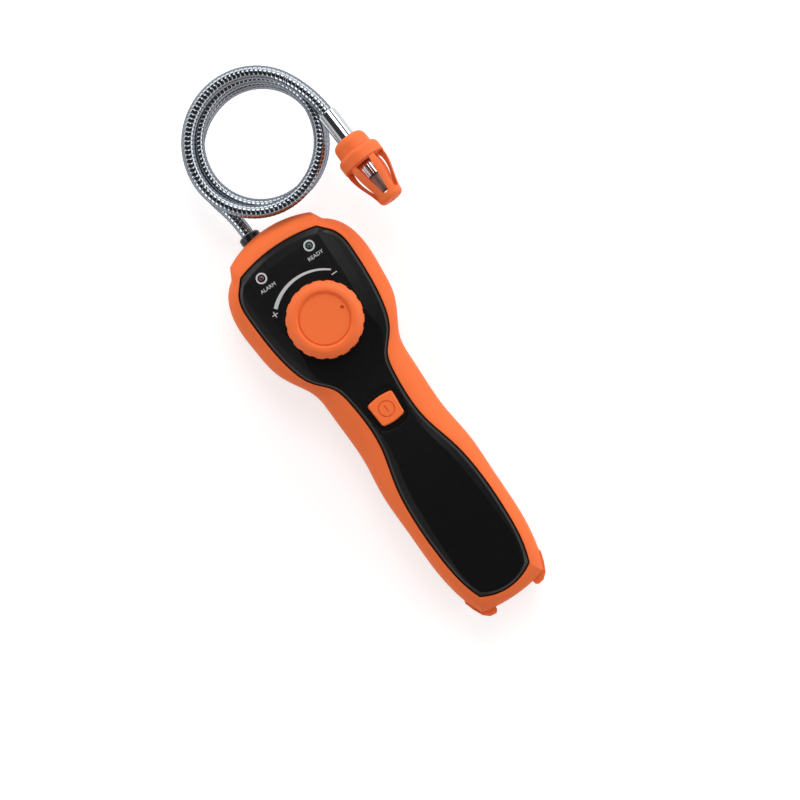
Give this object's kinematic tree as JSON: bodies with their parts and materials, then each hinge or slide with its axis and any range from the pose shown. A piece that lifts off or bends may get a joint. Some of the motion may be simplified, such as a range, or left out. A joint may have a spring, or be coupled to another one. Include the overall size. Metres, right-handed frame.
{
  "type": "combustible gas detector",
  "caption": "Handheld combustible gas detector with a coiled gooseneck probe, a caged sensor tip, a sensitivity dial, status lamps and a power button.",
  "frame": {"origin": "point on the flat back straight behind the axis of the sensitivity dial", "axes": "+Z is the normal of the face, +Y runs along the body towards the neck, +X is to the right of the face"},
  "size_m": [0.1028, 0.2776, 0.0487],
  "materials": {
    "black_plastic": "satin black moulded plastic",
    "bumper_rubber": "soft-touch orange overmould",
    "orange_plastic": "satin orange moulded plastic",
    "neck_chrome": "spiral-wound chromed steel",
    "tube_chrome": "smooth polished chrome",
    "nickel_steel": "nickel-plated steel",
    "board_green": "green solder mask",
    "component_black": "black moulded component",
    "connector_white": "natural nylon",
    "red_lens": "dark red diffused lens",
    "green_lens": "dark green diffused lens",
    "cell_jacket": "plain sleeved dry cell",
    "sensor_ceramic": "porous brownish-grey element"
  },
  "bodies": {
    "housing": {"front_shell": "black_plastic", "rear_shell": "black_plastic", "bumper": "bumper_rubber", "neck_gland": "black_plastic", "neck_nut": "nickel_steel", "case_screws": "nickel_steel", "main_board": "board_green", "board_screws": "nickel_steel", "control_chips": "component_black", "sensor_connector": "connector_white", "pot_body": "component_black", "alarm_lamp": "red_lens", "ready_lamp": "green_lens", "tact_switch": "component_black", "sounder": "component_black", "battery_cell_1": "cell_jacket", "battery_cell_2": "cell_jacket", "battery_cell_3": "cell_jacket", "battery_cell_4": "cell_jacket", "battery_contacts": "nickel_steel", "neck_root": "neck_chrome"},
    "dial": {"dial": "orange_plastic", "pot_shaft": "nickel_steel"},
    "power_button": {"power_button": "orange_plastic", "switch_plunger": "component_black"},
    "battery_door": {"battery_door": "black_plastic"},
    "neck": {"neck_coil": "neck_chrome", "neck_tip": "neck_chrome"},
    "probe": {"probe_tube": "tube_chrome", "sensor_socket": "orange_plastic", "sensor_base": "component_black", "sensor_can": "nickel_steel", "sensor_ring": "component_black", "sensor_element": "sensor_ceramic"},
    "guard": {"sensor_guard": "orange_plastic"}
  },
  "joints": [
    {"name": "dial_turn", "type": "hinge", "parent": "housing", "child": "dial", "pos_m": [0, 0, 0.0405], "axis": [0, 0, 1], "range_deg": [-50, 230]},
    {"name": "power_press", "type": "slide", "parent": "housing", "child": "power_button", "axis": [0, 0, -1], "range_m": [0, 0.0008], "stiffness_N_per_m": 1500, "springref_m": -0.0003},
    {"name": "battery_door_slide", "type": "slide", "parent": "housing", "child": "battery_door", "axis": [0, -1, 0], "range_m": [0, 0.118]},
    {"name": "neck_swing", "type": "hinge", "parent": "housing", "child": "neck", "pos_m": [-0.0078, 0.063, 0.0181], "axis": [0, 0, 1], "range_deg": [0, 75], "deforming": ["neck_root"]},
    {"name": "probe_swing", "type": "hinge", "parent": "neck", "child": "probe", "pos_m": [0.0528, 0.09, 0.0353], "axis": [0, 0, 1], "range_deg": [-4, 70], "deforming": ["neck_tip"]},
    {"name": "guard_removal", "type": "slide", "parent": "probe", "child": "guard", "axis": [0.0489, -0.9963, 0.0712], "range_m": [0, 0.03]}
  ]
}
